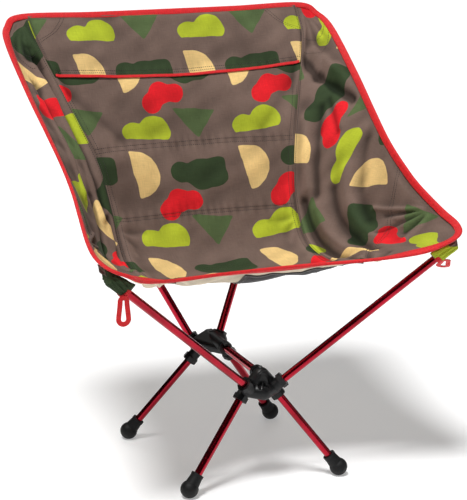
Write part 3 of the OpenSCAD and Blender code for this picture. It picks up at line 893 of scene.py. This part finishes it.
def make_rim_tape():
    path = rim_path()
    way = into_cloth(path)
    piece = sweep("rim_tape", path, way, tape_profile(8.2, 2.8, 2.4), True)
    settle(paint(piece, RED_TAPE), "red_binding", "edge_binding")
    side, up = frames_along(path, way, True)
    rows = []
    for face in (1, -1):
        lifted = path + side * (5.9 * MM) + up * (face * 2.0 * MM)
        rows.append((np.vstack([lifted, lifted[:1]]), np.vstack([up, up[:1]]) * face))
    thread_piece("rim_stitching", rows, THREAD_RED, "red_binding")


def face_row(panel, u, v, thickness=CLOTH_T):
    return panel.at(np.asarray(u, float), np.asarray(v, float), thickness / 2 + 0.12 * MM)


SEWN = 0.985  # how far out, as a share of the panel, the cloth is sewn to its neighbour
ROW_APART = 0.0035  # half the distance of a double row, in v


def line_through(points, count=60):
    """(u, v) along a smooth line through a few points."""
    p = curve(np.array(points, float), np.linspace(0, 1, count))
    return p[:, 0], p[:, 1]


def make_panel_stitching():
    """Double rows across the centre panel, along its seams, round the corner patches and on the yoke."""
    centre, yoke = SEAT_PANELS["centre"], SEAT_PANELS["yoke"]
    u = np.linspace(-SEWN, SEWN, 160)
    rows = [face_row(centre, u, np.full_like(u, v + off)) for v in STITCH_LINES for off in (-ROW_APART, ROW_APART)]
    v = np.linspace(0.235, SEWN, 200)
    for s in (-1, 1):
        for off in (3, 9):
            rows.append(face_row(centre, s * (1 - off * MM / curve(SEAM, v)[:, 0]), v))
    thread_piece("centre_stitching", rows)
    w = np.linspace(0.03, 0.97, 60)
    rows = [face_row(yoke, u, np.full_like(u, near), YOKE_T) for near in (0.955, 0.972)]
    for s in (-1, 1):
        rows.append(face_row(yoke, np.full_like(w, s * SEWN), w, YOKE_T))
        for far in (0.0, 0.025):
            arc = line_through([(0.76 - far, 0.03), (0.80 - far, 0.28), (0.88 - far, 0.52), (SEWN, 0.66 + 2 * far)])
            rows.append(face_row(yoke, s * arc[0], arc[1], YOKE_T))
    thread_piece("yoke_stitching", rows)


# The sewn edges of a side panel's front and top corner patches, as (u, v)
PATCH_LINE = [(SEWN, 0.478), (0.84, 0.545), (0.67, 0.602), (0.53, 0.648), (0.36, 0.70), (0.24, 0.76), (0.16, 0.83)]
TOP_PATCH_LINE = [(0.05, 0.165), (0.45, 0.175), (0.75, 0.155), (0.97, 0.12)]


def make_side_stitching(side):
    panel = SEAT_PANELS[side]
    rows = []
    for off in (0.0, 0.008):
        u, v = line_through([(a + off, b + off) for a, b in PATCH_LINE], 110)
        rows.append(face_row(panel, np.minimum(u, SEWN), v))
    for near in (0.0, 0.025):
        rows.append(face_row(panel, *line_through([(a, b + near) for a, b in TOP_PATCH_LINE], 40)))
    v = np.linspace(0.02, 0.98, 200)
    rows.append(face_row(panel, 2.5 * MM / np.interp(v, FINE, SIDE_WIDTH).clip(12 * MM), v))
    thread_piece(f"side_stitching_{side}", rows)


def make_seam_tape(side):
    """The bound seam on the reverse, between the centre and a side panel."""
    s = SIDES[side]
    v = np.linspace(0.03, 0.97, 150)
    points, normals = SEAT_PANELS["centre"].at(np.full_like(v, s * SEWN), v, -2.4 * MM)
    piece = sweep(f"seam_tape_{side}", points, normals, tape_profile(2.6, 3.4, 0.9), False)
    settle(paint(piece, SEAM_TAPE), "black_fabric")


POUCH_U, POUCH_V = (-0.15, 0.93), (0.6, 0.93)


def make_pouch():
    def relief(u, v):
        flat = centre_flat(u, v)
        inner = (fade(u - POUCH_U[0], 0.16) * fade(POUCH_U[1] - u, 0.16)
                 * fade(v - POUCH_V[0], 0.05) * fade(POUCH_V[1] - v, 0.05))
        puff = inner * MM * (1.5 + 0.5 * SWELL(flat + 0.2) + 0.4 * CREASE(flat))
        return centre_relief(u, v) - 1.4 * MM - puff
    panel = Panel(centre_surface, centre_flat, np.linspace(*POUCH_U, 61), np.linspace(*POUCH_V, 71), relief)
    SEAT_PANELS["pouch"] = panel
    piece = sheet_piece("seat_pouch", panel, POUCH_T, lambda p: turned(p.flat, (0, 0), (0, 0), 0), back_slot=0)
    finish_sheet(paint(piece, BLACK_CLOTH), "black_fabric", "under_seat_pouch", (0.164, 0.164),
                 rests_on="seat_centre", trims=["pouch_tape"])


def make_pouch_tape():
    """The pouch's bound edge, all round, sewn to the seat."""
    panel = SEAT_PANELS["pouch"]
    side = np.linspace(0, 1, 50)[:-1, None]
    corners = np.array([(POUCH_U[a], POUCH_V[b]) for a, b in ((0, 0), (1, 0), (1, 1), (0, 1))])
    uv = np.vstack([a + side * (b - a) for a, b in zip(corners, np.roll(corners, -1, axis=0))])
    heart = corners.mean(axis=0)
    path, _ = panel.at(*uv.T, 0.2 * MM)
    middle, _ = panel.at(*(heart + 0.9 * (uv - heart)).T)
    piece = sweep("pouch_tape", path, smooth_ring(middle - path, 4), tape_profile(6.0, 1.0, 1.1), True)
    settle(paint(piece, SEAM_TAPE), "black_fabric")


# ---- corner pockets

FRONT_POCKET = dict(mouth=(233, -228, 336), pole=(32, -160, 160), start=6)
REAR_POCKET = dict(mouth=(260, 241, 636), pole=(26, 71, 165), start=-78)
SLEEVE_R, MOUTH_R = 8.2 * MM, 9.3 * MM
POCKET_DEPTH = {"front": 44 * MM, "rear": 90 * MM}
POCKET_FLAT = {"front": (0.064, 0.044), "rear": (0.053, 0.080)}


def square_to(way):
    """Two directions square to a way and to each other."""
    first = unit(np.cross(way, [0, 0, 1]))
    return first, np.cross(way, first)


def pocket_axis(kind, side):
    s = np.array([SIDES[side], 1, 1])
    mouth, pole = np.array(kind["mouth"]) * MM * s, np.array(kind["pole"]) * MM * s
    way = unit(mouth - pole)
    return mouth + way * kind["start"] * MM, way


POCKET_GAP, POCKET_NEAR = 1.1 * MM, 14 * MM


def behind_cloth(co, side):
    """Points that would come through the seat's face are moved back behind it."""
    points = np.vstack([SEAT_PANELS[k].points.reshape(-1, 3) for k in ("centre", side)])
    normals = np.vstack([SEAT_PANELS[k].normals.reshape(-1, 3) for k in ("centre", side)])
    tree = KDTree(len(points))
    for i, p in enumerate(points):
        tree.insert(p, i)
    tree.balance()
    for i, p in enumerate(co):
        _, k, away = tree.find(p)
        through = (p - points[k]) @ normals[k] + POCKET_GAP
        if away < POCKET_NEAR and through > 0:
            co[i] = p - normals[k] * through
    return co


POCKET_PRINT = {"left": (-42, -68), "right": (40, -148)}
POCKET_R = 14
POCKET_FRONT = np.array([-0.4, -0.9, 0])


def pocket_uv(mesh, angle, axial, way, side):
    """The pocket's cloth unrolled round its pole, with the chosen part of the print at its front."""
    first, second = square_to(way)
    ahead = math.atan2(POCKET_FRONT @ second, POCKET_FRONT @ first)
    turn = (angle - ahead + np.pi) % (2 * np.pi) - np.pi
    set_uvs(mesh, np.stack([turn * POCKET_R * MM, axial], axis=1) + np.array(POCKET_PRINT[side]) * MM)


def vertex_values(mesh, key):
    flat = np.zeros(len(mesh.vertices) * 3)
    mesh.vertices.foreach_get(key, flat)
    return flat.reshape(-1, 3)


def make_pocket(end, side):
    """A corner pocket: the CAD pocket's shape, remeshed, rounded off and gathered into small folds."""
    node = frame["nodes"][f"{end}_pocket_{side}"]
    rough = add_object("pocket_rough", node.data.copy())
    remesh = rough.modifiers.new("remesh", "REMESH")
    remesh.mode, remesh.voxel_size = "VOXEL", 1.0 * MM
    soften = rough.modifiers.new("soften", "SMOOTH")
    soften.factor, soften.iterations = 0.5, 6
    ready = bpy.data.meshes.new_from_object(rough.evaluated_get(bpy.context.evaluated_depsgraph_get()))
    bpy.data.objects.remove(rough)
    piece = add_object(f"{end}_corner_pocket_{side}", ready)
    co, no = vertex_values(ready, "co"), vertex_values(ready, "normal")
    start, way = pocket_axis(FRONT_POCKET if end == "front" else REAR_POCKET, side)
    axial = (co - start) @ way
    radial = co - start - axial[:, None] * way
    reach = np.linalg.norm(radial, axis=1)
    first, second = square_to(way)
    angle = np.arctan2(radial @ second, radial @ first)
    outside = fade(reach - SLEEVE_R, 1.2 * MM)
    folds = (0.75 * np.sin(11 * angle + 2.2 * np.sin(axial / (9 * MM)))
             + 0.45 * np.sin(19 * angle - axial / (6 * MM)))
    waist = np.sin(np.pi * np.clip(axial / POCKET_DEPTH[end], 0, 1)) * 0.26 * outside
    spare = np.clip(reach - SLEEVE_R, 0, None) / np.maximum(reach, 1e-6)
    co = co - radial * (waist * spare)[:, None]
    co = co + no * (outside * fade(axial - 2 * MM, 14 * MM) * folds * MM)[:, None]
    co = behind_cloth(co, side)
    ready.vertices.foreach_set("co", co.ravel())
    ready.polygons.foreach_set("use_smooth", [True] * len(ready.polygons))
    ready.update()
    pocket_uv(ready, angle, axial, way, side)
    paint(piece, PRINT if end == "front" else DARK_CLOTH)
    finish_sheet(piece, "pocket_fabric", f"{end}_pocket_{side}", POCKET_FLAT[end], rests_on=f"{end}_tip_{side}")


def make_mouth_tape(side):
    """The bound mouth of a front pocket."""
    start, way = pocket_axis(FRONT_POCKET, side)
    first, second = square_to(way)
    a = np.linspace(0, 2 * np.pi, 60, endpoint=False)[:, None]
    path = start + way * 2.0 * MM + MOUTH_R * (np.cos(a) * first + np.sin(a) * second)
    piece = sweep(f"pocket_mouth_{side}", path, np.tile(way, (len(path), 1)), tape_profile(4.5, 2.6, 1.1), True)
    settle(paint(piece, RED_TAPE), "red_binding", f"front_mouth_binding_{side}")


# ---- pull loops

LOOP_DROP, LOOP_TOP_R, LOOP_END_R = 25 * MM, 8.5 * MM, 10.5 * MM
WEB_W, WEB_T = 7 * MM, 1.6 * MM
LOOP_PLACES = {
    "right": (Vector((-0.245, -0.2428, 0.339)), 0.0, 0.0),
    "left": (Vector((0.2534, -0.2321, 0.3377)), 60.0, -23.0),
}


def loop_outline(inset):
    """The line round a hanging loop, inset from its outer edge; x across, y up."""
    lean = math.asin((LOOP_END_R - LOOP_TOP_R) / LOOP_DROP)
    top = np.linspace(-lean, math.pi + lean, 24)
    end = np.linspace(math.pi + lean, 2 * math.pi - lean, 24)
    upper = (LOOP_TOP_R - inset) * np.stack([np.cos(top), np.sin(top)], axis=1)
    lower = (LOOP_END_R - inset) * np.stack([np.cos(end), np.sin(end)], axis=1) + [0, -LOOP_DROP]
    return evenly(np.vstack([upper, lower, upper[:1]]), 140)


def make_pull_loop(side):
    """A strip of webbing turned on itself: flat strands that dish and ripple a little."""
    outline = loop_outline(WEB_W / 2)
    heart = outline.mean(axis=0)
    sway = 0.7 * MM * np.sin((outline[:, 1] - heart[1]) / (6 * MM)) * np.sign(outline[:, 0])
    path = np.stack([outline[:, 0], sway * fade(np.abs(outline[:, 0]), 3 * MM), outline[:, 1] - LOOP_TOP_R], axis=1)
    tangent = np.roll(path, -1, axis=0) - np.roll(path, 1, axis=0)
    across = np.cross(tangent, [0.0, 1.0, 0.0])
    w, t, r = WEB_W / 2, WEB_T / 2, 0.45 * MM
    half = [(-w, -t + r), (-w + r, -t), (-w / 2, -t * 0.8), (0, -t * 0.7), (w / 2, -t * 0.8), (w - r, -t), (w, -t + r)]
    profile = half + [(x, -y) for x, y in reversed(half)]
    piece = sweep(f"webbing_loop_{side}", path, across, profile, True)
    top, tilt, turn = LOOP_PLACES[side]
    place = (Matrix.Translation(top) @ Matrix.Rotation(math.radians(turn), 4, "Z")
             @ Matrix.Rotation(math.radians(tilt), 4, "X"))
    piece.data.transform(place)
    piece.data.update()
    settle(paint(piece, RED_WEBBING), "red_webbing", f"pull_loop_{side}", body=f"pull_loop_{side}_body")


# ---- stage

TARGET = Vector((-0.0003, -0.042, 0.3282))
AZIMUTH, ELEVATION, ROLL = -23.04, 15.03, 0.61
DISTANCE, LENS = 2.6454, 127.6


def make_camera():
    a, e, r = (math.radians(x) for x in (AZIMUTH, ELEVATION, ROLL))
    back = Vector((math.sin(a) * math.cos(e), -math.cos(a) * math.cos(e), math.sin(e)))
    right = Vector((math.cos(a), math.sin(a), 0))
    up = back.cross(right)
    x_axis = right * math.cos(r) + up * math.sin(r)
    y_axis = up * math.cos(r) - right * math.sin(r)
    place = Matrix((x_axis, y_axis, back)).transposed().to_4x4()
    place.translation = TARGET + back * DISTANCE
    data = bpy.data.cameras.new("camera")
    data.lens, data.sensor_width = LENS, 36
    camera = add_object("camera", data)
    camera.matrix_world = place
    bpy.context.scene.camera = camera


FLOOR_REACH, FLOOR_TONE, FLOOR_GLOW = 90.0, 0.72, 0.33
LIGHT_AIM = Vector((0, 0, 0.35))
KEY_WAY, KEY_POWER, KEY_SPREAD = Vector((0.27, 0.22, -0.94)), 3.6, 16


def make_floor():
    corners = [(x * FLOOR_REACH, y * FLOOR_REACH, 0) for x, y in ((-1, -1), (1, -1), (1, 1), (-1, 1))]
    material, _, _ = start_material(
        "pale_floor", Roughness=0.9, Specular_IOR_Level=0.2, Base_Color=(FLOOR_TONE, FLOOR_TONE, FLOOR_TONE, 1),
        Emission_Color=(1, 1, 1, 1), Emission_Strength=FLOOR_GLOW)
    paint(new_mesh("floor", corners, [(0, 1, 2, 3)]), material)


def area_light(name, place, size, power):
    data = bpy.data.lights.new(name, "AREA")
    data.shape, data.size, data.size_y = "RECTANGLE", size[0], size[1]
    data.energy = power
    light = add_object(name, data)
    light.location = place
    light.rotation_euler = (LIGHT_AIM - Vector(place)).to_track_quat("-Z", "Y").to_euler()


def make_lights():
    """A large soft key high on the left, a weak fill from the right and an even grey room."""
    data = bpy.data.lights.new("key", "SUN")
    data.energy, data.angle = KEY_POWER, math.radians(KEY_SPREAD)
    add_object("key", data).rotation_euler = KEY_WAY.to_track_quat("-Z", "Y").to_euler()
    area_light("fill", (2.4, -1.6, 1.4), (1.0, 2.0), 5)
    area_light("back", (0.6, 2.4, 2.4), (2.0, 0.8), 14)
    world = bpy.data.worlds.new("studio")
    world.use_nodes = True
    tree = world.node_tree
    way = tree.nodes.new("ShaderNodeTexCoord")
    height = split(tree, Wire(tree, way.outputs["Generated"]))[2]
    plug(tree, tree.nodes["Background"].inputs[1], span(tree, height, 0.05, 0.8, 0.08, 0.34))
    bpy.context.scene.world = world
    bpy.context.scene.view_settings.view_transform = "Standard"


make_camera()
make_floor()
make_lights()
dress_frame()
make_centre_panel()
for side_name in SIDES:
    make_side_panel(side_name)
make_yoke()
make_yoke_tape()
make_rim_tape()
make_panel_stitching()
make_pouch()
make_pouch_tape()
for side_name in SIDES:
    make_side_stitching(side_name)
    make_seam_tape(side_name)
    make_pocket("front", side_name)
    make_pocket("rear", side_name)
    make_mouth_tape(side_name)
    make_pull_loop(side_name)
